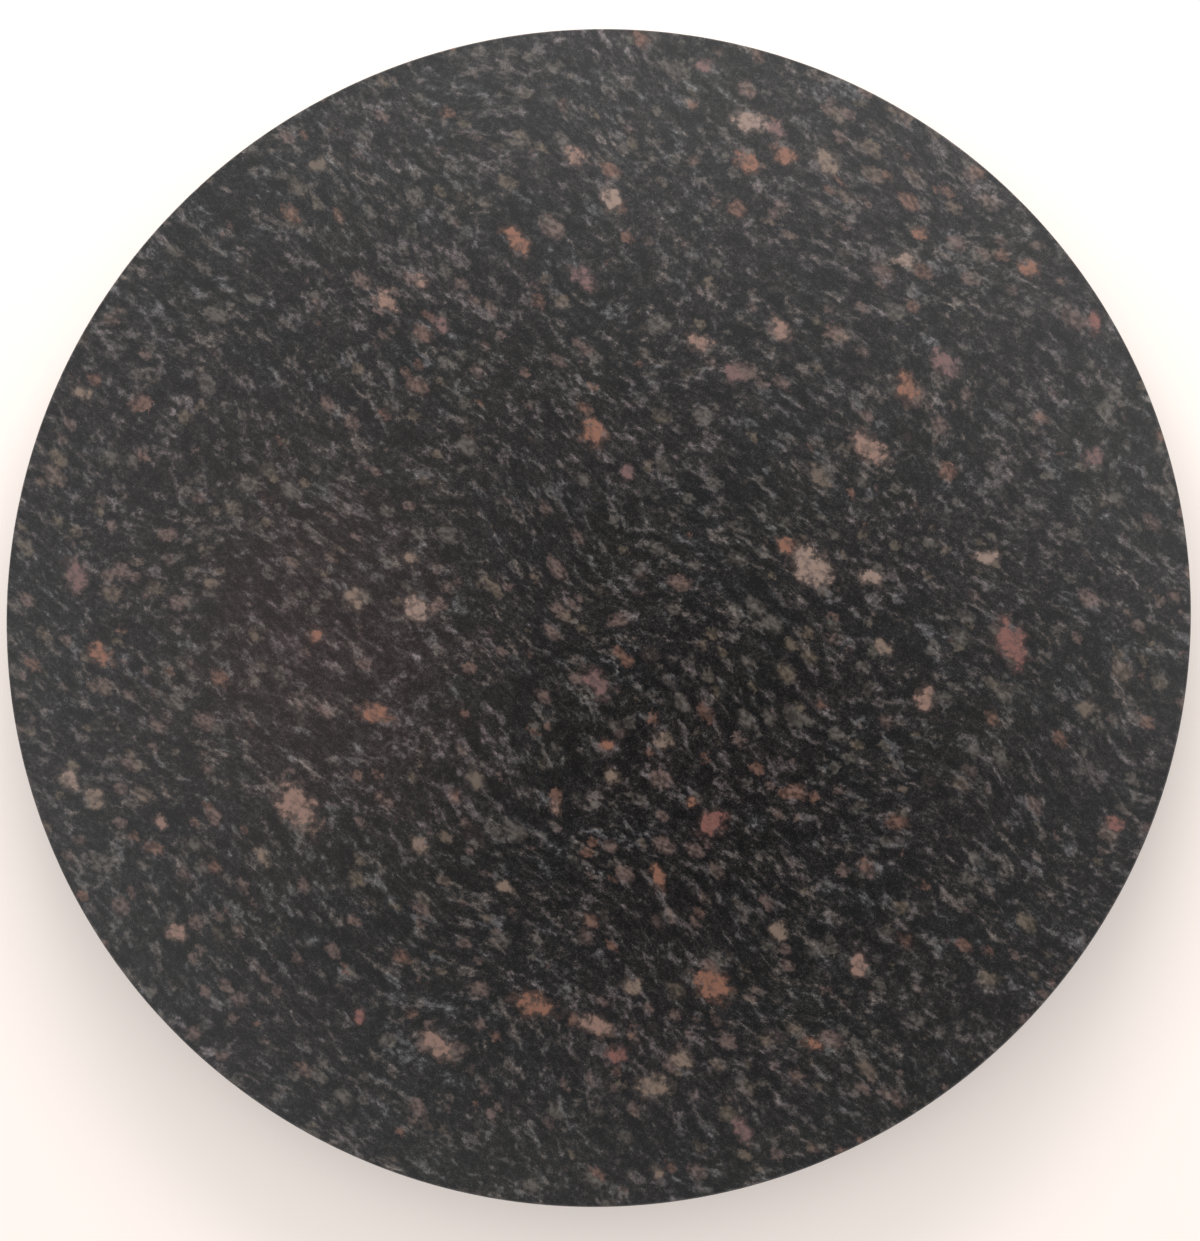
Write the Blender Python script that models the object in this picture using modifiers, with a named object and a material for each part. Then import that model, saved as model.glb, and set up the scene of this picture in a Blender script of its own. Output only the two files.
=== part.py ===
"""Round granite slab for leatherwork: a polished stone disc that lies on four stick-on rubber feet.

The frame is the slab lying on a bench with its polished face up: +Z up, the origin at the centre of
the circle of feet, at the level of their soles. The front of the slab is -Y.

Pieces, from the bench up:
  foot_*        four moulded rubber bumpers, tapered, with a flat sole and a rounded sole edge
  foot_tape_*   four adhesive discs, one between each bumper and the stone
  granite_slab  the stone disc, with an eased arris round the polished face and round the sawn back
"""

import math

import bmesh
import bpy
from mathutils import Vector

# Driving dimensions, in metres
SLAB_DIAMETER = 0.300
SLAB_THICKNESS = 0.020
TOP_ARRIS = 0.0004          # 45 degree eased edge of the polished face
BACK_ARRIS = 0.0008         # 45 degree eased edge of the sawn back
SLAB_SEGMENTS = 192

FOOT_TOP_DIAMETER = 0.0200  # the bonded end
FOOT_SOLE_DIAMETER = 0.0174 # where the taper would meet the sole
FOOT_HEIGHT = 0.0060
FOOT_SOLE_ROUNDING = 0.0010
FOOT_TOP_ROUNDING = 0.0004
FOOT_SEGMENTS = 48

TAPE_DIAMETER = 0.0184
TAPE_THICKNESS = 0.0006

SEAM = 0.0003               # clearance left between pieces that are bonded together
FOOT_CIRCLE_RADIUS = 0.108  # from the slab's centre to each foot's centre

FEET = {                    # name: direction of the foot from the centre, degrees from +X towards +Y
    "front_right": -45.0,
    "back_right": 45.0,
    "back_left": 135.0,
    "front_left": -135.0,
}

STONE = ("polished_granite", (0.055, 0.057, 0.058), 0.12, 0.0)
RUBBER = ("black_rubber", (0.022, 0.022, 0.023), 0.75, 0.0)
TAPE = ("grey_acrylic_tape", (0.32, 0.32, 0.31), 0.60, 0.0)


def clear_scene():
    for obj in list(bpy.data.objects):
        bpy.data.objects.remove(obj, do_unlink=True)


def new_material(name, colour, roughness, metallic):
    material = bpy.data.materials.new(name)
    material.use_nodes = True
    shader = material.node_tree.nodes["Principled BSDF"]
    shader.inputs["Base Color"].default_value = (*colour, 1.0)
    shader.inputs["Roughness"].default_value = roughness
    shader.inputs["Metallic"].default_value = metallic
    material.diffuse_color = (*colour, 1.0)
    return material


def link(obj, collection, material):
    collection.objects.link(obj)
    obj.data.materials.append(material)
    return obj


def smooth_rounds(obj, angle=30.0):
    obj.data.shade_smooth()
    obj.data.set_sharp_from_angle(angle=math.radians(angle))


def disc(name, diameter, thickness, base_z, segments):
    """A closed upright cylinder whose lower face is at base_z, its origin at the centre of that face."""
    mesh = bpy.data.meshes.new(name)
    bm = bmesh.new()
    bmesh.ops.create_cone(
        bm,
        cap_ends=True,
        cap_tris=False,
        segments=segments,
        radius1=diameter / 2,
        radius2=diameter / 2,
        depth=thickness,
    )
    bmesh.ops.translate(bm, verts=bm.verts, vec=(0.0, 0.0, thickness / 2))
    bmesh.ops.recalc_face_normals(bm, faces=bm.faces)
    bm.to_mesh(mesh)
    bm.free()
    obj = bpy.data.objects.new(name, mesh)
    obj.location = (0.0, 0.0, base_z)
    return obj


def ease_rims(obj, top, back):
    """Cuts the two circular arrises at 45 degrees: a bevel on each rim loop, chosen by its height."""
    bm = bmesh.new()
    bm.from_mesh(obj.data)
    height = max(v.co.z for v in bm.verts)
    for level, width in ((height, top), (0.0, back)):
        rim = [
            e
            for e in bm.edges
            if all(abs(v.co.z - level) < 1e-6 for v in e.verts)
        ]
        bmesh.ops.bevel(
            bm,
            geom=rim,
            offset=width,
            offset_type="OFFSET",
            segments=1,
            profile=0.5,
            affect="EDGES",
            clamp_overlap=True,
        )
    bmesh.ops.recalc_face_normals(bm, faces=bm.faces)
    bm.to_mesh(obj.data)
    bm.free()


def arc(centre, radius, start_deg, end_deg, steps):
    """Points on an arc in the profile's plane, as (distance from the axis, height)."""
    points = []
    for i in range(steps + 1):
        a = math.radians(start_deg + (end_deg - start_deg) * i / steps)
        points.append(
            (centre[0] + radius * math.cos(a), centre[1] + radius * math.sin(a))
        )
    return points


def foot_profile():
    """The bumper's outline from the middle of its bonded face, down the outer side, to the middle of its sole."""
    top_r, sole_r, h = FOOT_TOP_DIAMETER / 2, FOOT_SOLE_DIAMETER / 2, FOOT_HEIGHT
    lean = math.degrees(math.atan2(top_r - sole_r, h))   # the taper's angle from upright
    t, s = FOOT_TOP_ROUNDING, FOOT_SOLE_ROUNDING
    # centres of the two corner arcs, each tangent to the flat and to the tapered side
    top_centre_x = top_r - t * math.tan(math.radians((90 + lean) / 2))
    sole_centre_x = sole_r - s * math.tan(math.radians((90 - lean) / 2))
    points = [(0.0, h)]
    points += arc((top_centre_x, h - t), t, 90.0, -lean, 3)
    points += arc((sole_centre_x, s), s, -lean, -90.0, 5)
    points.append((0.0, 0.0))
    return points


def turned(name, profile, segments):
    """A solid of revolution about Z: an open profile with a Screw modifier, welded at the axis."""
    mesh = bpy.data.meshes.new(name)
    mesh.from_pydata(
        [Vector((x, 0.0, z)) for x, z in profile],
        [(i, i + 1) for i in range(len(profile) - 1)],
        [],
    )
    obj = bpy.data.objects.new(name, mesh)
    screw = obj.modifiers.new("turn", "SCREW")
    screw.axis = "Z"
    screw.angle = math.tau
    screw.steps = segments
    screw.render_steps = segments
    screw.use_merge_vertices = True
    screw.merge_threshold = 0.00001
    screw.use_smooth_shade = True
    return obj


def main():
    clear_scene()
    parts = bpy.data.collections.new("granite_slab_on_feet")
    bpy.context.scene.collection.children.link(parts)
    stone, rubber, tape = (new_material(*m) for m in (STONE, RUBBER, TAPE))

    tape_z = FOOT_HEIGHT + SEAM
    slab_z = tape_z + TAPE_THICKNESS + SEAM

    slab = link(
        disc("granite_slab", SLAB_DIAMETER, SLAB_THICKNESS, slab_z, SLAB_SEGMENTS),
        parts,
        stone,
    )
    ease_rims(slab, TOP_ARRIS, BACK_ARRIS)
    smooth_rounds(slab)

    for where, direction in FEET.items():
        a = math.radians(direction)
        x, y = FOOT_CIRCLE_RADIUS * math.cos(a), FOOT_CIRCLE_RADIUS * math.sin(a)
        foot = link(turned(f"foot_{where}", foot_profile(), FOOT_SEGMENTS), parts, rubber)
        foot.location = (x, y, 0.0)
        pad = link(
            disc(f"foot_tape_{where}", TAPE_DIAMETER, TAPE_THICKNESS, tape_z, FOOT_SEGMENTS),
            parts,
            tape,
        )
        pad.location = (x, y, tape_z)
        smooth_rounds(pad)


main()
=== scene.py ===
"""Round polished granite slab on four rubber feet: the looks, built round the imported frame.

Everything is in metres in the frame's own axes: +Z up through the polished face, -Y the front.
"""

import math

import bpy
import numpy as np
from mathutils import Matrix, Vector


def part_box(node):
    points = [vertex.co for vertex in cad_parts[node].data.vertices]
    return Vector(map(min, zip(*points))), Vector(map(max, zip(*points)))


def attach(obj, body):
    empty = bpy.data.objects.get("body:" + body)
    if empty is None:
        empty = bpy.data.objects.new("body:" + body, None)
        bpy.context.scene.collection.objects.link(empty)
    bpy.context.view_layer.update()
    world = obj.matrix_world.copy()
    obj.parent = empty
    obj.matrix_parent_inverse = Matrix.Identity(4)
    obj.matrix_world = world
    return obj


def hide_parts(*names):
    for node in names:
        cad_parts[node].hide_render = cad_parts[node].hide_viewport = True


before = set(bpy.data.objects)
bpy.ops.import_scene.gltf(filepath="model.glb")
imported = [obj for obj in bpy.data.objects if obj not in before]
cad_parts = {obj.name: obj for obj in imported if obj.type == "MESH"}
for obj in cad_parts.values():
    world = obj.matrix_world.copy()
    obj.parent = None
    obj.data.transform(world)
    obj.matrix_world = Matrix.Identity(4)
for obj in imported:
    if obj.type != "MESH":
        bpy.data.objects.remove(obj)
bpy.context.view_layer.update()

MM = 0.001
TAU = math.tau

# ------------------------------------------------------------------ sizes read from the frame
SLAB_LOW, SLAB_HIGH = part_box("granite_slab")
RADIUS = (SLAB_HIGH.x - SLAB_LOW.x) / 2
TOP_Z, BACK_Z = SLAB_HIGH.z, SLAB_LOW.z
TOP_ARRIS, BACK_ARRIS = 0.4 * MM, 0.8 * MM
FEET = ("front_left", "front_right", "back_left", "back_right")

# how strongly each scale of the stone's pattern shows
BASE_PALE, DEPTH = 0.0160, 0.0058
STRAND_GAIN, FIBRE_GAIN, SPECKLE_GAIN, CROWD_GAIN, BLOTCH = 2.9, 3.0, 2.2, 1.2, 0.60


# ------------------------------------------------------------------ node helpers


class Graph:
    """Short calls for building a material's node tree."""

    def __init__(self, tree):
        self.tree = tree

    def node(self, kind, **settings):
        made = self.tree.nodes.new(kind)
        for name, value in settings.items():
            setattr(made, name, value)
        return made

    def feed(self, socket, value):
        if isinstance(value, bpy.types.NodeSocket):
            self.tree.links.new(value, socket)
        elif value is not None:
            socket.default_value = value

    def math(self, operation, a, b=None, c=None, clamp=False):
        made = self.node("ShaderNodeMath", operation=operation, use_clamp=clamp)
        for socket, value in zip(made.inputs, (a, b, c)):
            self.feed(socket, value)
        return made.outputs[0]

    def vector(self, operation, a, b=None, scale=None):
        made = self.node("ShaderNodeVectorMath", operation=operation)
        self.feed(made.inputs[0], a)
        self.feed(made.inputs[1], b)
        if scale is not None:
            self.feed(made.inputs["Scale"], scale)
        return made.outputs["Value" if operation in ("LENGTH", "DISTANCE", "DOT_PRODUCT") else "Vector"]

    def noise(self, at, scale, detail=2.0, roughness=0.5, distortion=0.0, colour=False):
        made = self.node("ShaderNodeTexNoise", noise_dimensions="3D", normalize=True)
        self.feed(made.inputs["Vector"], at)
        made.inputs["Scale"].default_value = scale
        made.inputs["Detail"].default_value = detail
        made.inputs["Roughness"].default_value = roughness
        made.inputs["Distortion"].default_value = distortion
        return made.outputs["Color" if colour else "Fac"]

    def cells(self, at, scale, feature="F1", randomness=1.0):
        made = self.node("ShaderNodeTexVoronoi", voronoi_dimensions="3D", feature=feature)
        self.feed(made.inputs["Vector"], at)
        made.inputs["Scale"].default_value = scale
        made.inputs["Randomness"].default_value = randomness
        return made

    def ramp(self, value, low, high, to_low=0.0, to_high=1.0, smooth=True):
        made = self.node(
            "ShaderNodeMapRange",
            interpolation_type="SMOOTHSTEP" if smooth else "LINEAR",
            clamp=True,
        )
        for name, given in (
            ("Value", value),
            ("From Min", low),
            ("From Max", high),
            ("To Min", to_low),
            ("To Max", to_high),
        ):
            self.feed(made.inputs[name], given)
        return made.outputs["Result"]

    def mix(self, share, a, b, blend="MIX"):
        made = self.node("ShaderNodeMix", data_type="RGBA", blend_type=blend, clamp_factor=True)
        self.feed(made.inputs["Factor"], share)
        for socket, value in ((made.inputs[6], a), (made.inputs[7], b)):
            if isinstance(value, tuple):
                value = (*value[:3], 1.0)
            self.feed(socket, value)
        return made.outputs[2]

    def blend(self, share, a, b):
        """A plain number between a and b."""
        made = self.node("ShaderNodeMix", data_type="FLOAT", clamp_factor=True)
        self.feed(made.inputs["Factor"], share)
        self.feed(made.inputs[2], a)
        self.feed(made.inputs[3], b)
        return made.outputs[0]

    def warp(self, at, scale, reach, detail=1.0):
        """at moved by up to about reach each way, by noise of the given scale."""
        push = self.noise(at, scale, detail, 0.5, colour=True)
        push = self.vector("SUBTRACT", push, (0.5, 0.5, 0.5))
        return self.vector("ADD", at, self.vector("SCALE", push, scale=2.0 * reach))

    def bump(self, height, distance, strength=1.0, normal=None):
        made = self.node("ShaderNodeBump")
        made.inputs["Strength"].default_value = strength
        made.inputs["Distance"].default_value = distance
        self.feed(made.inputs["Height"], height)
        if normal is not None:
            self.feed(made.inputs["Normal"], normal)
        return made.outputs["Normal"]


def new_material(name):
    material = bpy.data.materials.new(name)
    material.use_nodes = True
    return material, Graph(material.node_tree), material.node_tree.nodes["Principled BSDF"]


def object_millimetres(g):
    place = g.node("ShaderNodeTexCoord").outputs["Object"]
    return g.vector("SCALE", place, scale=1000.0)


# ------------------------------------------------------------------ the stone's own pattern

FOLIATION = math.radians(-38.0)   # the way the streaks run on the face, from +X


def along_foliation(g, p, length):
    """p turned so that X runs along the streaks, and drawn out by length along it."""
    turned = g.node("ShaderNodeMapping", vector_type="TEXTURE")
    g.feed(turned.inputs["Vector"], p)
    turned.inputs["Rotation"].default_value = (0.0, 0.0, FOLIATION)
    turned.inputs["Scale"].default_value = (length, 1.0, 1.5)
    return turned.outputs["Vector"]


def channels(g, colour):
    made = g.node("ShaderNodeSeparateColor")
    g.feed(made.inputs["Color"], colour)
    return made.outputs


def stone_minerals(g, p):
    """The gneiss, as a solid texture in millimetres: gives its colour, how much of it is soft dark mica
    (which takes less polish) and a fine grain height."""
    # the foliation swings and ripples
    swung = g.warp(p, 0.022, 6.0, 0.0)
    rippled = g.warp(swung, 0.28, 1.2, 0.0)
    q = along_foliation(g, rippled, 2.0)
    near_q = along_foliation(g, swung, 1.4)

    # broad changes of tint, and smaller ones of tone
    broad = channels(g, g.noise(p, 0.032, 1.0, 0.5, colour=True))
    local = channels(g, g.noise(q, 0.20, 1.0, 0.5, colour=True))

    # How pale the stone is, on a log scale. The matrix is mica and hornblende with crystals of about a
    # millimetre; blotches of plagioclase and quartz lie along the foliation in it
    strands = g.noise(q, 0.37, 1.0, 0.45)
    fibres = g.noise(g.vector("ADD", near_q, (5.0, 41.0, 9.0)), 0.90, 1.5, 0.55)
    speckle = g.noise(p, 3.0, 1.0, 0.6)
    log_pale = g.math("MULTIPLY_ADD", fibres, FIBRE_GAIN, -0.5 * FIBRE_GAIN)
    log_pale = g.math("ADD", log_pale, g.math("MULTIPLY_ADD", speckle, SPECKLE_GAIN, -0.5 * SPECKLE_GAIN))
    log_pale = g.math("ADD", log_pale, g.math("MULTIPLY_ADD", local[1], CROWD_GAIN, -0.5 * CROWD_GAIN))
    log_pale = g.math("ADD", log_pale, g.math("MULTIPLY_ADD", strands, STRAND_GAIN, -0.5 * STRAND_GAIN))
    blotch = g.ramp(g.math("ADD", strands, g.math("MULTIPLY_ADD", fibres, 0.40, -0.20)), 0.55, 0.68, 0.0, BLOTCH)
    log_pale = g.math("ADD", log_pale, blotch)

    # thin pale cleavage threads here and there
    long_q = g.vector("ADD", along_foliation(g, swung, 3.6), (71.0, 3.0, 20.0))
    thread = g.math("ABSOLUTE", g.math("SUBTRACT", g.noise(long_q, 0.15, 1.0, 0.5), 0.5))
    thread = g.math("MULTIPLY", g.ramp(thread, 0.020, 0.004), g.ramp(local[2], 0.52, 0.62, 0.0, 0.60))
    log_pale = g.math("MINIMUM", g.math("ADD", log_pale, thread), 2.2)
    pale = g.math("MULTIPLY_ADD", g.math("EXPONENT", log_pale), BASE_PALE, -DEPTH)
    pale = g.math("ADD", g.math("MAXIMUM", pale, 0.0016), g.math("MULTIPLY_ADD", speckle, 0.018, -0.0075))
    pale = g.math("MAXIMUM", pale, 0.0008)

    # its hue: near neutral in the mica, warmer and pinker in some of the pale blotches, with broad drifts
    cool, warm = (1.015, 0.975, 1.000), (1.17, 0.975, 0.88)
    warmth = g.ramp(local[0], 0.36, 0.60)
    warmth = g.math("MULTIPLY", warmth, g.ramp(log_pale, 0.0, 1.2, 0.30, 1.0))
    hue = g.mix(warmth, cool, warm)
    hue = g.mix(g.ramp(broad[0], 0.44, 0.62, 0.0, 0.80), hue, (1.13, 0.94, 0.96))
    hue = g.mix(g.ramp(broad[1], 0.52, 0.70, 0.0, 0.50), hue, (1.04, 1.00, 0.92))
    colour = g.vector("SCALE", hue, scale=pale)

    # small feldspar grains, from beige and dusty pink to orange, mottled and ragged
    ragged = g.noise(p, 0.45, 3.0, 0.62)
    shake = g.vector("SCALE", g.noise(p, 0.7, 2.0, 0.6, colour=True), scale=3.0)
    for scale, shift, low, high, share, weight in (
        (0.150, (0.0, 0.0, 0.0), 0.17, 0.36, 0.40, 0.72),
        (0.245, (13.0, 7.0, 50.0), 0.18, 0.38, 0.50, 0.64),
    ):
        at = g.vector("ADD", near_q, g.vector("ADD", shake, shift))
        seeds = g.cells(at, scale)
        picked = channels(g, seeds.outputs["Color"])
        reach = g.ramp(picked[1], 0.0, 1.0, low, high, smooth=False)
        inside = g.math("SUBTRACT", reach, seeds.outputs["Distance"])
        grain = g.math("MULTIPLY", g.ramp(inside, -0.10, 0.14), g.ramp(picked[0], share, share + 0.10))
        tint = g.mix(g.ramp(picked[2], 0.25, 0.45), (0.094, 0.083, 0.072), (0.118, 0.092, 0.068))
        tint = g.mix(g.ramp(picked[2], 0.55, 0.72), tint, (0.130, 0.089, 0.078))
        tint = g.mix(g.ramp(picked[2], 0.88, 0.94), tint, (0.150, 0.082, 0.062))
        tint = g.vector("SCALE", tint, scale=g.ramp(fibres, 0.34, 0.62, 0.44, 1.10))
        colour = g.mix(g.math("MULTIPLY", grain, weight), colour, tint)

    # the big feldspar grains, laid out on the mesh
    big = g.node("ShaderNodeAttribute", attribute_name="feldspar_reach").outputs["Fac"]
    big_colour = g.node("ShaderNodeAttribute", attribute_name="feldspar_colour").outputs["Color"]
    edge = g.math("ADD", big, g.math("MULTIPLY_ADD", ragged, 2.6, -1.3))
    body = g.ramp(edge, -0.12, 0.34)
    halo = g.ramp(edge, -0.60, 0.10, 0.0, 0.35)
    dull = g.mix(0.52, big_colour, (0.035, 0.031, 0.029))
    mottle = g.ramp(g.math("ADD", fibres, g.math("MULTIPLY_ADD", ragged, 0.8, -0.40)), 0.32, 0.60)
    big_body = g.mix(mottle, dull, g.vector("SCALE", big_colour, scale=0.94))
    colour = g.mix(halo, colour, dull)
    colour = g.mix(g.math("MULTIPLY", body, 0.94), colour, big_body)

    # painted glint: a few crystal faces are drawn paler in the colour, as if they caught more light
    painted_glint = g.ramp(speckle, 0.735, 0.80)
    colour = g.mix(g.math("MULTIPLY", painted_glint, 0.30), colour, (0.26, 0.255, 0.25))

    mica = g.ramp(log_pale, 0.3, -0.6)
    return colour, mica, speckle


def stone_material(name, finish):
    """finish is polished, honed or sawn."""
    material, g, shader = new_material(name)
    p = object_millimetres(g)
    colour, mica, speckle = stone_minerals(g, p)
    shader.inputs["IOR"].default_value = 1.54
    grit = g.noise(p, 2.2, 1.0, 0.6)
    if finish == "polished":
        g.feed(shader.inputs["Roughness"], g.blend(mica, 0.06, 0.11))
        g.feed(shader.inputs["Normal"], g.bump(grit, 0.00002, 0.12))
    elif finish == "honed":
        colour = g.mix(0.10, colour, (0.16, 0.16, 0.155))
        g.feed(shader.inputs["Roughness"], g.blend(mica, 0.42, 0.52))
        g.feed(shader.inputs["Normal"], g.bump(grit, 0.00008, 0.5))
    else:
        colour = g.mix(0.34, colour, (0.21, 0.21, 0.205))
        g.feed(shader.inputs["Roughness"], g.blend(mica, 0.58, 0.72))
        g.feed(shader.inputs["Normal"], g.bump(grit, 0.00025, 0.8))
    g.feed(shader.inputs["Base Color"], colour)
    return material


# ------------------------------------------------------------------ big feldspar grains

PINK = (0.230, 0.142, 0.114)
BEIGE = (0.178, 0.128, 0.100)
ORANGE = (0.210, 0.100, 0.068)
RED = (0.185, 0.082, 0.070)
OLIVE = (0.120, 0.092, 0.072)
PALE = (0.245, 0.172, 0.142)
MAUVE = (0.150, 0.088, 0.084)

# The few grains that catch the eye on the polished face: place to the nearest 5 mm (from the centre, +X right,
# +Y back), half length and half width (mm), turn of the long axis (degrees), colour
FACE_GRAINS = (
    (-75, -50, 6.5, 4.0, -55, PINK),
    (105, -10, 5.5, 3.0, -70, RED),
    (30, -95, 4.5, 3.0, -40, ORANGE),
    (55, 10, 6.0, 3.5, -40, PALE),
    (70, 40, 5.0, 2.5, -40, PINK),
    (-15, -100, 4.5, 2.5, -20, ORANGE),
    (0, -105, 5.0, 2.0, -20, PINK),
    (15, -120, 4.0, 2.5, 0, BEIGE),
    (40, 125, 4.5, 2.5, -15, PALE),
    (5, 105, 3.5, 2.5, -65, PALE),
    (0, 45, 3.5, 2.5, -75, ORANGE),
    (-20, 95, 4.5, 2.0, -55, ORANGE),
    (-45, 0, 3.5, 2.5, -50, PALE),
    (30, -55, 3.5, 2.5, 20, RED),
)
FACE_FILL = 64   # smaller ones scattered between them


def grain_fields(points):
    """For each point, how far it lies inside the nearest big grain (1 at the middle, 0 on its outline,
    below 0 outside) and that grain's colour. Grains are ellipsoids."""
    rng = np.random.default_rng(41)
    grains = []
    for x, y, half_long, half_wide, turn, tint in FACE_GRAINS:
        grains.append(((x * MM, y * MM, TOP_Z - 0.3 * half_wide * MM), half_long * MM, half_wide * MM, half_wide * MM, turn, tint))
    tints = (PINK, BEIGE, ORANGE, BEIGE, PINK, OLIVE, PALE, RED, MAUVE, ORANGE)
    # smaller ones scattered over the face, none on top of another
    taken = [(x, y) for x, y, *_ in FACE_GRAINS]
    while len(taken) < len(FACE_GRAINS) + FACE_FILL:
        r, a = (RADIUS / MM - 4.0) * math.sqrt(rng.random()), TAU * rng.random()
        x, y = r * math.cos(a), r * math.sin(a)
        if min(math.hypot(x - u, y - v) for u, v in taken) < 6.5:
            continue
        taken.append((x, y))
        wide = 1.3 + 1.1 * rng.random() ** 1.5
        long = wide * (1.15 + 0.75 * rng.random())
        turn = -38 + 30 * rng.standard_normal()
        centre = (x * MM, y * MM, TOP_Z - 0.3 * wide * MM)
        grains.append((centre, long * MM, wide * MM, wide * MM, turn, tints[int(rng.integers(len(tints)))]))
    # more of the same through the thickness, kept clear of the polished face
    for _ in range(420):
        r, a = RADIUS * math.sqrt(rng.random()), TAU * rng.random()
        wide = (1.1 + 1.9 * rng.random() ** 2) * MM
        long = wide * (1.1 + 0.9 * rng.random())
        z = BACK_Z + (TOP_Z - BACK_Z - 2 * wide - 0.4 * MM) * rng.random()
        turn = -38 + 35 * rng.standard_normal()
        grains.append(((r * math.cos(a), r * math.sin(a), z), long, wide, wide, turn, tints[int(rng.integers(len(tints)))]))
    reach = np.full(len(points), -1.0, np.float32)
    tint_of = np.zeros((len(points), 4), np.float32)
    tint_of[:] = (*BEIGE, 1.0)
    for centre, a_, b_, c_, turn, tint in grains:
        near = np.nonzero(np.abs(points - np.array(centre)).max(1) < 2.2 * a_)[0]
        if not len(near):
            continue
        d = points[near] - np.array(centre)
        t = math.radians(turn)
        u = d[:, 0] * math.cos(t) + d[:, 1] * math.sin(t)
        v = -d[:, 0] * math.sin(t) + d[:, 1] * math.cos(t)
        f = (1 - np.sqrt((u / a_) ** 2 + (v / b_) ** 2 + (d[:, 2] / c_) ** 2)).astype(np.float32)
        better = f > reach[near]
        reach[near[better]] = f[better]
        tint_of[near[better]] = (*tint, 1.0)
    return reach, tint_of


# ------------------------------------------------------------------ meshes


def mesh_object(name, points, faces, materials=(), slots=None, smooth=None):
    mesh = bpy.data.meshes.new(name)
    mesh.from_pydata([tuple(p) for p in points], [], faces)
    mesh.validate()
    for material in materials:
        mesh.materials.append(material)
    if slots is not None:
        mesh.polygons.foreach_set("material_index", np.asarray(slots, np.int32))
    mesh.polygons.foreach_set(
        "use_smooth", np.ones(len(faces), bool) if smooth is None else np.asarray(smooth, bool)
    )
    mesh.update()
    made = bpy.data.objects.new(name, mesh)
    bpy.context.scene.collection.objects.link(made)
    return made


def disc_grid(n, radius):
    """A square grid of n by n cells mapped onto a disc so that its outline has 4n evenly spaced points.
    Gives the points, the cells and the outline's point numbers, counter-clockwise from +X."""
    side = np.linspace(-1.0, 1.0, n + 1)
    gx, gy = np.meshgrid(side, side, indexing="xy")
    x, y = gx.ravel(), gy.ravel()
    wide = np.abs(x) >= np.abs(y)
    with np.errstate(divide="ignore", invalid="ignore"):
        turn_a = np.where(wide, np.pi / 4 * y / x, 0.0)
        turn_b = np.where(~wide, np.pi / 2 - np.pi / 4 * x / y, 0.0)
    r = np.where(wide, x, y)
    turn = np.nan_to_num(np.where(wide, turn_a, turn_b))
    points = np.stack([r * np.cos(turn), r * np.sin(turn)], 1) * radius
    number = np.arange((n + 1) ** 2).reshape(n + 1, n + 1)
    cells = np.stack([number[:-1, :-1], number[:-1, 1:], number[1:, 1:], number[1:, :-1]], -1).reshape(-1, 4)
    right = number[n // 2 :, n]
    top = number[n, n - 1 :: -1]
    left = number[n - 1 :: -1, 0]
    bottom = number[0, 1:]
    low_right = number[1 : n // 2, n]
    outline = np.concatenate([right, top, left, bottom, low_right])
    return points, cells, outline


def ring_faces(a, b, double):
    """Faces between ring a and ring b, below it. With double, b has twice a's points."""
    n, faces = len(a), []
    for i in range(n):
        j = (i + 1) % n
        if double:
            k = 2 * i
            faces.append((a[i], b[k], b[k + 1]))
            faces.append((a[i], b[k + 1], a[j]))
            faces.append((a[j], b[k + 1], b[(k + 2) % len(b)]))
        else:
            faces.append((a[i], b[i], b[j], a[j]))
    return faces


def chip_depth(turn, seed, count, widest, deepest):
    """Small nicks along a rim: for each angle, how deep the nearest nick is there, 0 where there is none."""
    rng = np.random.default_rng(seed)
    depth = np.zeros_like(turn)
    for _ in range(count):
        at = TAU * rng.random()
        wide = widest * (0.35 + 0.65 * rng.random()) / RADIUS
        deep = deepest * (0.25 + 0.75 * rng.random() ** 2)
        off = np.abs((turn - at + math.pi) % TAU - math.pi) / wide
        depth = np.maximum(depth, deep * np.clip(1 - off**2, 0, None))
    return depth


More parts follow.
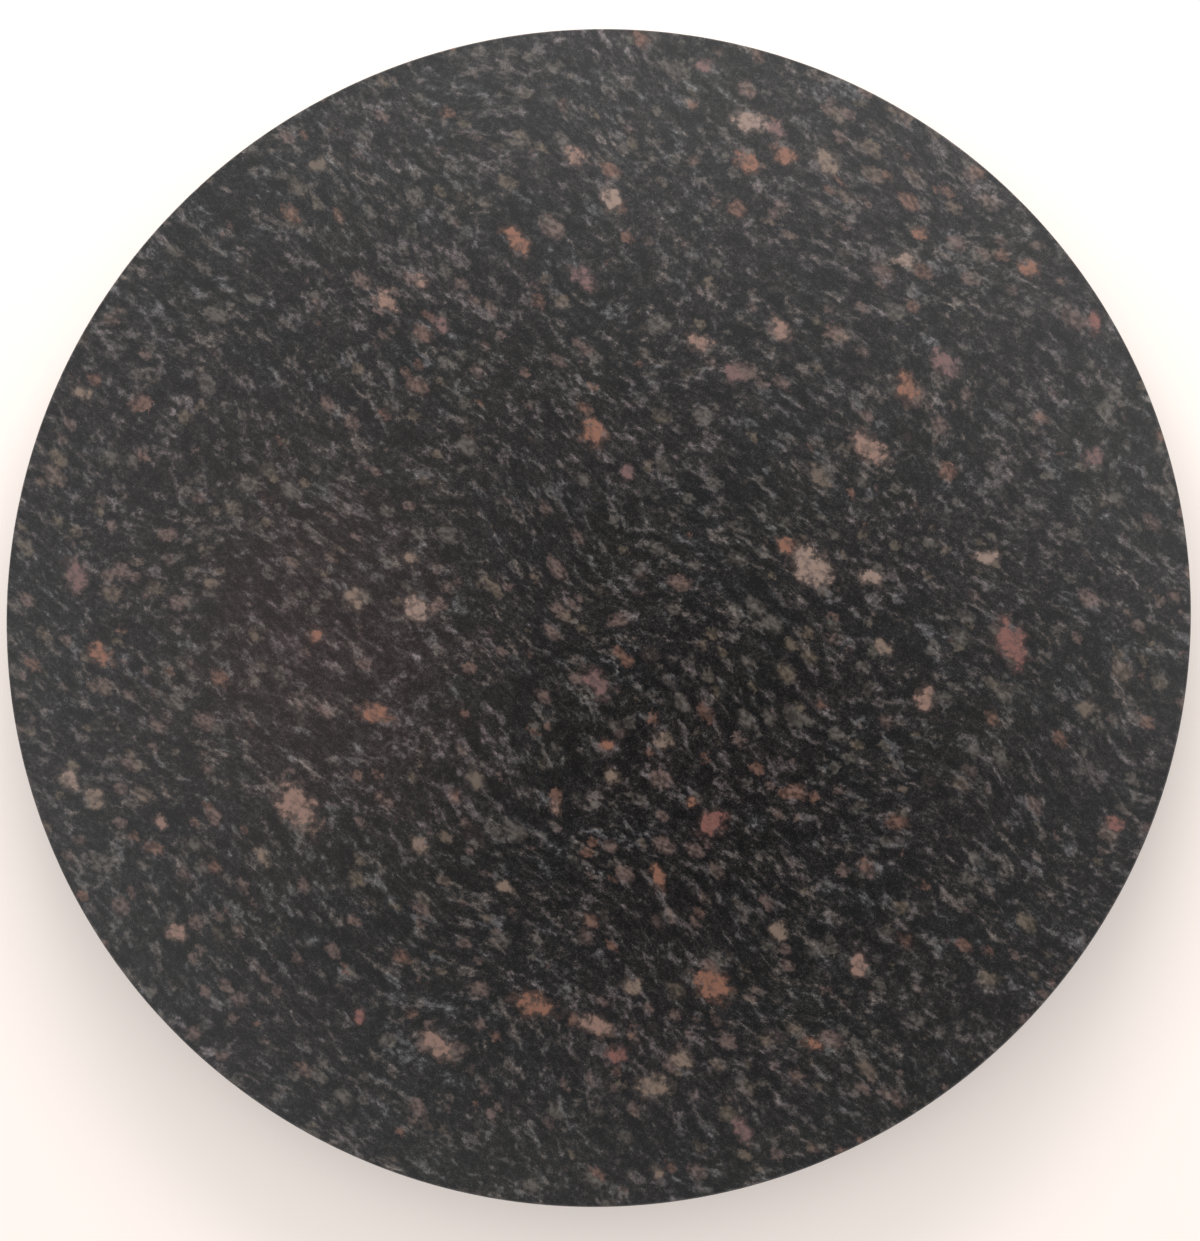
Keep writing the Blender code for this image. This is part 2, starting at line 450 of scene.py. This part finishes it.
def lay_out(mesh, place):
    """The slab's map: the polished face as one large disc, the sawn back as a small one in the opposite
    corner, and the rim with both arrises as four quarter-turn strips in the two corners left."""
    spots = np.zeros(len(mesh.loops), np.int32)
    mesh.loops.foreach_get("vertex_index", spots)
    starts = np.zeros(len(mesh.polygons), np.int32)
    sizes = np.zeros(len(mesh.polygons), np.int32)
    slots = np.zeros(len(mesh.polygons), np.int32)
    mesh.polygons.foreach_get("loop_start", starts)
    mesh.polygons.foreach_get("loop_total", sizes)
    mesh.polygons.foreach_get("material_index", slots)
    face_of = np.repeat(np.arange(len(starts)), sizes)
    at = place[spots].astype(np.float64)
    middle = np.zeros((len(starts), 2))
    np.add.at(middle, face_of, at[:, :2])
    middle /= sizes[:, None]

    edge, gap = 0.006, 0.008
    big, small = 0.427, 0.142
    uv = np.zeros((len(at), 2))
    slot = slots[face_of]
    face, back, rim = slot == 0, slot == 2, slot == 1
    uv[face] = edge + big + at[face, :2] / RADIUS * big
    uv[back] = 1 - edge - small + at[back, :2] * (-1, 1) / RADIUS * small

    quarter = TAU / 4
    whole = np.arctan2(middle[:, 1], middle[:, 0])[face_of] % TAU
    turn = whole + (np.arctan2(at[:, 1], at[:, 0]) - whole + math.pi) % TAU - math.pi
    strip = np.floor(whole / quarter).astype(int)
    along = (turn - strip * quarter) / quarter
    # how far down the outline: the inset is added so that the arrises have width in the map
    inset = RADIUS - np.hypot(at[:, 0], at[:, 1])
    drop = TOP_Z - at[:, 2]
    down = np.where(drop < (TOP_Z - BACK_Z) / 2, drop - inset, drop + inset)
    span = TOP_Z - BACK_Z + TOP_ARRIS + BACK_ARRIS
    down = np.clip((down + TOP_ARRIS) / span, 0.0, 1.0)
    long_side = 1 - 2 * edge - 2 * small - gap
    start = edge + 2 * big + gap
    room = (1 - edge - start - gap) / 2
    row = start + (strip % 2) * (room + gap)
    first = np.stack([edge + along * long_side, row + room - down * room], 1)
    second = np.stack([row + down * room, edge + along * long_side], 1)
    uv[rim] = np.where((strip < 2)[:, None], first, second)[rim]
    layer = mesh.uv_layers.new(name="OFBake")
    layer.data.foreach_set("uv", uv.astype(np.float32).ravel())


def part_finishes(mesh):
    """Marks every edge where two finishes meet as sharp, so that an arris never shades the face beside it."""
    edge_of = np.zeros(len(mesh.loops), np.int32)
    mesh.loops.foreach_get("edge_index", edge_of)
    sizes = np.zeros(len(mesh.polygons), np.int32)
    slots = np.zeros(len(mesh.polygons), np.int32)
    mesh.polygons.foreach_get("loop_total", sizes)
    mesh.polygons.foreach_get("material_index", slots)
    slot_of = np.repeat(slots, sizes)
    low, high = np.full(len(mesh.edges), 9, np.int32), np.full(len(mesh.edges), -1, np.int32)
    np.minimum.at(low, edge_of, slot_of)
    np.maximum.at(high, edge_of, slot_of)
    sharp = np.zeros(len(mesh.edges), bool)
    mesh.edges.foreach_get("use_edge_sharp", sharp)
    mesh.edges.foreach_set("use_edge_sharp", sharp | (low != high))


def build_slab(materials):
    polished, honed, sawn = materials
    cells_top, cells_back = 208, 104
    points, faces, slots, smooth = [], [], [], []

    def put(new_points):
        start = len(points)
        points.extend(new_points)
        return np.arange(start, start + len(new_points))

    top_xy, top_cells, top_edge = disc_grid(cells_top, RADIUS - TOP_ARRIS)
    ids = put([(x, y, TOP_Z) for x, y in top_xy])
    faces += [tuple(int(i) for i in ids[c]) for c in top_cells]
    slots += [0] * len(top_cells)
    smooth += [True] * len(top_cells)
    ring = ids[top_edge]

    n = 2 * len(ring)
    turn = np.arange(n) * TAU / n
    nicks = chip_depth(turn, 7, 34, 2.8 * MM, 0.10 * MM)
    back_nicks = chip_depth(turn, 17, 70, 3.2 * MM, 0.26 * MM) + chip_depth(turn, 18, 160, 1.8 * MM, 0.10 * MM)
    rng = np.random.default_rng(5)
    phase = rng.random(8) * TAU
    wobble = sum(np.cos(k * turn + phase[i]) / (i + 2) for i, k in enumerate((5, 9, 14, 23, 37, 61))) * 0.010 * MM

    # profile from the face's edge, over the arris, down the rim, over the back arris: (inset from the
    # rim, drop below the face, share of the top nicks, share of the back nicks, slot)
    thick = TOP_Z - BACK_Z
    profile = []
    steps = 6
    for i in range(1, steps + 1):   # a softened 45 degree arris
        s = i / steps
        line_x, line_z = TOP_ARRIS * (1 - s), TOP_ARRIS * s
        belly = 0.13 * TOP_ARRIS * math.sin(math.pi * s)
        profile.append((line_x - belly * 0.707, line_z - belly * 0.707, 1.0 - 0.55 * abs(2 * s - 1), 0.0, 1))
    rows = 12
    flat = thick - TOP_ARRIS - BACK_ARRIS
    for drop in (0.08 * MM, *(flat * i / rows for i in range(1, rows)), flat - 0.08 * MM):
        profile.append((0.0, TOP_ARRIS + drop, 0.0, 0.0, 1))
    for i in range(0, 5):
        s = i / 4
        line_x, line_z = BACK_ARRIS * s, thick - BACK_ARRIS * (1 - s)
        belly = 0.10 * BACK_ARRIS * math.sin(math.pi * s)
        profile.append((line_x - belly * 0.707, line_z + belly * 0.707, 0.0, 1.0 - 0.55 * abs(2 * s - 1), 1))

    previous, doubled = ring, True
    for inset, drop, top_share, back_share, slot in profile:
        inward = inset + nicks * top_share + back_nicks * back_share
        if 0.0 < drop < thick:
            inward = inward + np.maximum(0.0, 0.012 * MM + wobble)
        r = RADIUS - np.maximum(inward, 0.0)
        z = TOP_Z - drop - nicks * top_share * 0.7 + back_nicks * back_share * 0.7
        z = np.clip(z, BACK_Z, TOP_Z)
        ids = put(list(zip(r * np.cos(turn), r * np.sin(turn), np.broadcast_to(z, r.shape))))
        made = ring_faces(previous, ids, doubled)
        faces += [tuple(int(i) for i in f) for f in made]
        slots += [slot] * len(made)
        smooth += [True] * len(made)
        previous, doubled = ids, False

    back_xy, back_cells, back_edge = disc_grid(cells_back, RADIUS - BACK_ARRIS - 1.2 * MM)
    half = len(previous) // 2
    turn_half = np.arange(half) * TAU / half
    r = RADIUS - BACK_ARRIS - 0.5 * MM
    ids = put([(r * math.cos(a), r * math.sin(a), BACK_Z) for a in turn_half])
    made = [tuple(reversed(f)) for f in ring_faces(ids, previous, True)]
    faces += [tuple(int(i) for i in f) for f in made]
    slots += [2] * len(made)
    smooth += [True] * len(made)
    outer = ids
    ids = put([(x, y, BACK_Z) for x, y in back_xy])
    inner = ids[back_edge]
    made = [tuple(reversed(f)) for f in ring_faces(inner, outer, True)]
    faces += [tuple(int(i) for i in f) for f in made]
    faces += [tuple(int(i) for i in ids[c][::-1]) for c in back_cells]
    slots += [2] * (len(made) + len(back_cells))
    smooth += [True] * (len(made) + len(back_cells))

    slab = mesh_object("granite_slab_stone", points, faces, (polished, honed, sawn), slots, smooth)
    mesh = slab.data
    place = np.array(points, np.float32)
    lay_out(mesh, place)
    reach, tint = grain_fields(place)
    layer = mesh.attributes.new("feldspar_reach", "FLOAT", "POINT")
    layer.data.foreach_set("value", reach)
    layer = mesh.attributes.new("feldspar_colour", "FLOAT_COLOR", "POINT")
    layer.data.foreach_set("color", tint.ravel())
    mesh.set_sharp_from_angle(angle=math.radians(32))
    part_finishes(mesh)
    return slab


polished = stone_material("granite_polished", "polished")
honed = stone_material("granite_honed_rim", "honed")
sawn = stone_material("granite_sawn_back", "sawn")
slab = build_slab((polished, honed, sawn))
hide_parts("granite_slab")
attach(slab, "root")

# ------------------------------------------------------------------ rubber feet and their adhesive discs


def rubber_material():
    """Moulded black rubber: fine pores and flow marks, greyer where the sole has been rubbed."""
    material, g, shader = new_material("foot_rubber_black")
    p = object_millimetres(g)
    parts = g.node("ShaderNodeSeparateXYZ")
    g.feed(parts.inputs[0], p)
    cloud = g.noise(p, 0.35, 3.0, 0.6)
    pores = g.noise(p, 5.5, 2.0, 0.65)
    colour = g.mix(g.ramp(cloud, 0.35, 0.68), (0.016, 0.016, 0.017), (0.030, 0.029, 0.029))
    rubbed = g.math("ADD", g.ramp(parts.outputs["Z"], 1.0, 0.0), g.math("MULTIPLY_ADD", pores, 1.6, -1.0), clamp=True)
    colour = g.mix(g.math("MULTIPLY", rubbed, 0.70), colour, (0.085, 0.080, 0.074))
    dust = g.ramp(g.noise(p, 1.6, 3.0, 0.7), 0.60, 0.72)
    colour = g.mix(g.math("MULTIPLY", dust, 0.22), colour, (0.14, 0.13, 0.12))
    g.feed(shader.inputs["Base Color"], colour)
    g.feed(shader.inputs["Roughness"], g.ramp(cloud, 0.30, 0.70, 0.52, 0.70))
    shader.inputs["IOR"].default_value = 1.52
    g.feed(shader.inputs["Normal"], g.bump(pores, 0.00006, 0.55))
    return material


def tape_material():
    """Acrylic foam tape, seen at its cut edge: tiny cells, and dust caught on the sticky rim."""
    material, g, shader = new_material("adhesive_tape_grey")
    p = object_millimetres(g)
    cells = g.cells(p, 4.2).outputs["Distance"]
    cloud = g.noise(p, 0.8, 3.0, 0.6)
    colour = g.mix(g.ramp(cloud, 0.35, 0.66), (0.27, 0.27, 0.262), (0.37, 0.37, 0.355))
    colour = g.mix(g.ramp(cells, 0.05, 0.32, 0.45, 0.0), colour, (0.15, 0.148, 0.143))
    caught = g.ramp(g.noise(p, 2.6, 2.0, 0.7), 0.58, 0.66)
    colour = g.mix(g.math("MULTIPLY", caught, 0.6), colour, (0.06, 0.055, 0.05))
    g.feed(shader.inputs["Base Color"], colour)
    g.feed(shader.inputs["Roughness"], g.ramp(cells, 0.0, 0.4, 0.66, 0.44))
    g.feed(shader.inputs["Normal"], g.bump(cells, 0.00010, 0.6))
    return material


def turned(name, profile, segments, material, wobble=None):
    """A closed solid turned about Z. profile runs down the outer side, from the middle of the top to the
    middle of the underside; wobble(turns, index) adds to the distance from the axis."""
    turns = np.arange(segments) * TAU / segments
    points, rings = [], []
    for index, (r, z) in enumerate(profile):
        start = len(points)
        if r == 0.0:
            points.append((0.0, 0.0, z))
            rings.append([start] * segments)
            continue
        out = r + (wobble(turns, index) if wobble else np.zeros(segments))
        points.extend(zip(out * np.cos(turns), out * np.sin(turns), np.full(segments, z)))
        rings.append(list(range(start, start + segments)))
    faces = []
    for upper, lower in zip(rings, rings[1:]):
        for i in range(segments):
            j = (i + 1) % segments
            corners = (upper[i], lower[i], lower[j], upper[j])
            faces.append(tuple(dict.fromkeys(corners)))
    made = mesh_object(name, points, faces, (material,))
    made.data.set_sharp_from_angle(angle=math.radians(40))
    return made


def corner(centre_r, centre_z, radius, start, end, steps):
    """Points on a rounded corner of a profile, from start to end degrees."""
    for i in range(steps + 1):
        a = math.radians(start + (end - start) * i / steps)
        yield centre_r + radius * math.cos(a), centre_z + radius * math.sin(a)


def foot_outline(height, top_r, sole_r):
    """Half the bumper's section: a thin flange at the bonded end, a tapered side that bulges a little under
    the stone's weight, the mould's parting line, a rounded sole edge, and a shallow dish in the sole with the
    cut-off gate at its centre."""
    profile = [(0.0, height), (top_r * 0.45, height), (top_r * 0.88, height)]
    profile += corner(top_r - 0.30 * MM, height - 0.30 * MM, 0.30 * MM, 90, 0, 5)
    flange = height - 0.95 * MM
    profile.append((top_r, flange + 0.12 * MM))
    profile += [(top_r - 0.06 * MM, flange + 0.02 * MM), (top_r - 0.30 * MM, flange - 0.10 * MM), (top_r - 0.42 * MM, flange - 0.32 * MM)]
    upper_r, lower_r = top_r - 0.44 * MM, sole_r - 0.12 * MM
    upper_z, lower_z = flange - 0.36 * MM, 1.05 * MM
    for i in range(1, 15):
        s = i / 15
        r = upper_r + (lower_r - upper_r) * s + 0.16 * MM * math.sin(math.pi * s)
        z = upper_z + (lower_z - upper_z) * s
        profile.append((r, z))
        if i == 9:   # the mould's parting line
            for z in (2.50, 2.42, 2.36, 2.30, 2.22):
                z *= MM
                t = (upper_z - z) / (upper_z - lower_z)
                part = 0.07 * MM * math.exp(-(((z - 2.35 * MM) / (0.07 * MM)) ** 2))
                profile.append((upper_r + (lower_r - upper_r) * t + 0.16 * MM * math.sin(math.pi * t) + part, z))
    profile += corner(lower_r - 1.00 * MM, 1.00 * MM, 1.00 * MM, -4, -90, 8)
    profile += [(lower_r - 1.6 * MM, 0.0), (lower_r - 2.2 * MM, 0.0), (lower_r - 2.45 * MM, 0.06 * MM), (lower_r - 2.7 * MM, 0.20 * MM)]
    profile += [(lower_r - 3.4 * MM, 0.24 * MM), (1.35 * MM, 0.24 * MM), (1.15 * MM, 0.20 * MM), (1.05 * MM, 0.08 * MM), (0.85 * MM, 0.05 * MM), (0.0, 0.05 * MM)]
    return profile


rubber, tape = rubber_material(), tape_material()
for which, where in enumerate(FEET):
    low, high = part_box(f"foot_{where}")
    tape_low, tape_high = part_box(f"foot_tape_{where}")
    x, y = (low.x + high.x) / 2, (low.y + high.y) / 2
    joint_z = (high.z + tape_low.z) / 2
    foot = turned(f"foot_rubber_{where}", foot_outline(joint_z - 0.01 * MM, (high.x - low.x) / 2, 8.7 * MM), 96, rubber)
    rng = np.random.default_rng(60 + which)
    phases = rng.random(4) * TAU

    def cut_edge(turns, index, phases=phases):
        return sum(np.cos(k * turns + phases[i]) for i, k in enumerate((3, 7, 13, 29))) * (0.022 + 0.006 * (index % 2)) * MM

    r = (tape_high.x - tape_low.x) / 2 - 0.12 * MM
    top, base = BACK_Z - 0.005 * MM, joint_z + 0.005 * MM
    section = [(0.0, top), (r * 0.6, top), (r - 0.05 * MM, top), (r, top - 0.06 * MM)]
    section += [(r + 0.05 * MM * math.sin(math.pi * i / 6), top - 0.06 * MM - (top - base - 0.12 * MM) * i / 6) for i in range(1, 7)]
    section += [(r - 0.05 * MM, base), (r * 0.6, base), (0.0, base)]
    pad = turned(f"foot_adhesive_{where}", section, 96, tape, cut_edge)
    for piece, node, slot in ((foot, f"foot_{where}", "foot_rubber"), (pad, f"foot_tape_{where}", "adhesive_tape")):
        for vertex in piece.data.vertices:
            vertex.co.x += x
            vertex.co.y += y
        piece.data.update()
        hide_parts(node)
        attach(piece, "root")

# ------------------------------------------------------------------ stage, camera, light

stage_material, g, shader = new_material("stage_paper_painted_glow")
floor_at = g.node("ShaderNodeTexCoord").outputs["Object"]
away = g.vector("LENGTH", floor_at)
# painted light: the floor glows softly all round the slab, thinning the slab's shadow there, and hardly at all under
# its middle, so the shade beneath it stays
shader.inputs["Base Color"].default_value = (0.620, 0.565, 0.535, 1.0)
shader.inputs["Emission Color"].default_value = (1.0, 0.905, 0.850, 1.0)
g.feed(shader.inputs["Emission Strength"], g.ramp(away, 0.070, 0.170, 0.0, 0.36))
shader.inputs["Roughness"].default_value = 0.9
shader.inputs["Specular IOR Level"].default_value = 0.1
floor = mesh_object(
    "stage_floor", [(-20, -20, 0), (20, -20, 0), (20, 20, 0), (-20, 20, 0)], [(0, 1, 2, 3)], (stage_material,)
)

DISTANCE = 1.05
TILT = math.radians(7.87)
TILT_TOWARDS = math.radians(-62.0)
AIM = Vector((0.00172, -0.00329, TOP_Z))
camera_data = bpy.data.cameras.new("camera")
camera = bpy.data.objects.new("camera", camera_data)
bpy.context.scene.collection.objects.link(camera)
back = Vector(
    (
        math.sin(TILT) * math.cos(TILT_TOWARDS),
        math.sin(TILT) * math.sin(TILT_TOWARDS),
        math.cos(TILT),
    )
)
camera.location = AIM + back * DISTANCE
camera.rotation_mode = "QUATERNION"
# keep +Y up in the picture
forward = -back
up = Vector((0, 1, 0))
right = forward.cross(up).normalized()
up = right.cross(forward).normalized()
camera.rotation_quaternion = Matrix((right, up, back)).transposed().to_quaternion()
camera_data.sensor_width = 36.0
camera_data.lens = 593.9 / 1241 * 36.0 * DISTANCE / RADIUS
camera_data.clip_start, camera_data.clip_end = 0.01, 100.0
bpy.context.scene.camera = camera


def softbox(name, place, target, size, power, colour):
    data = bpy.data.lights.new(name, "AREA")
    data.shape = "RECTANGLE"
    data.size, data.size_y = size
    data.energy = power
    data.color = colour
    lamp = bpy.data.objects.new(name, data)
    lamp.location = place
    lamp.rotation_mode = "QUATERNION"
    lamp.rotation_quaternion = (Vector(target) - Vector(place)).to_track_quat("-Z", "Y")
    bpy.context.scene.collection.objects.link(lamp)
    return lamp


softbox("key_softbox", (0.02, 0.46, 0.41), (0, 0.05, 0), (0.50, 0.26), 2.95, (1.0, 0.985, 0.97))

world = bpy.data.worlds.new("studio")
bpy.context.scene.world = world
world.use_nodes = True
w = Graph(world.node_tree)
background = world.node_tree.nodes["Background"]
direction = w.node("ShaderNodeTexCoord").outputs["Generated"]
parts = w.node("ShaderNodeSeparateXYZ")
w.feed(parts.inputs[0], direction)
# a white tent, brightest in a ring round the opening at its top and level with the floor's tone at the horizon
level = w.ramp(parts.outputs["Z"], 0.0, 0.35, 0.90, 0.66)
level = w.blend(w.ramp(parts.outputs["Z"], 0.35, 0.75), level, 0.72)
level = w.blend(w.ramp(parts.outputs["Z"], 0.70, 0.93), level, 1.20)
opening = w.vector("DISTANCE", w.vector("MULTIPLY", direction, (1.0, 1.0, 0.0)), (-0.045, 0.082, 0.0))
opening = w.math("MULTIPLY_ADD", opening, 1 / 0.15, -0.02 / 0.15, clamp=True)
near = w.math("MULTIPLY_ADD", w.math("MULTIPLY", opening, opening), 0.38, 0.07)
near = w.math("MULTIPLY_ADD", opening, 0.50, near)
lean = w.math("MULTIPLY_ADD", parts.outputs["X"], 0.9, parts.outputs["Y"])
near = w.math("MULTIPLY", near, w.ramp(lean, 0.06, 0.20, 0.82, 1.42))
near = w.math("MULTIPLY", near, w.ramp(lean, -0.13, 0.02, 1.45, 1.0))
level = w.blend(w.ramp(parts.outputs["Z"], 0.93, 0.975), level, near)
# a faint warm patch beside the opening
blush = w.vector("DISTANCE", w.vector("MULTIPLY", direction, (1.0, 0.8, 0.0)), (-0.128, 0.092, 0.0))
blush = w.math("MULTIPLY", w.ramp(blush, 0.005, 0.062, 1.0, 0.0), w.ramp(parts.outputs["Z"], 0.0, 0.2))
w.feed(background.inputs["Strength"], w.math("MULTIPLY_ADD", blush, 0.48, level))
tint = w.mix(w.ramp(parts.outputs["Z"], 0.0, 0.16), (1.0, 0.925, 0.880), (1.0, 1.0, 1.0))
w.feed(background.inputs["Color"], w.mix(blush, tint, (1.0, 0.76, 0.74)))

bpy.context.scene.view_settings.view_transform = "Standard"
bpy.context.scene.view_settings.look = "None"
bpy.context.scene.view_settings.exposure = 0.0
bpy.context.scene.view_settings.gamma = 1.0
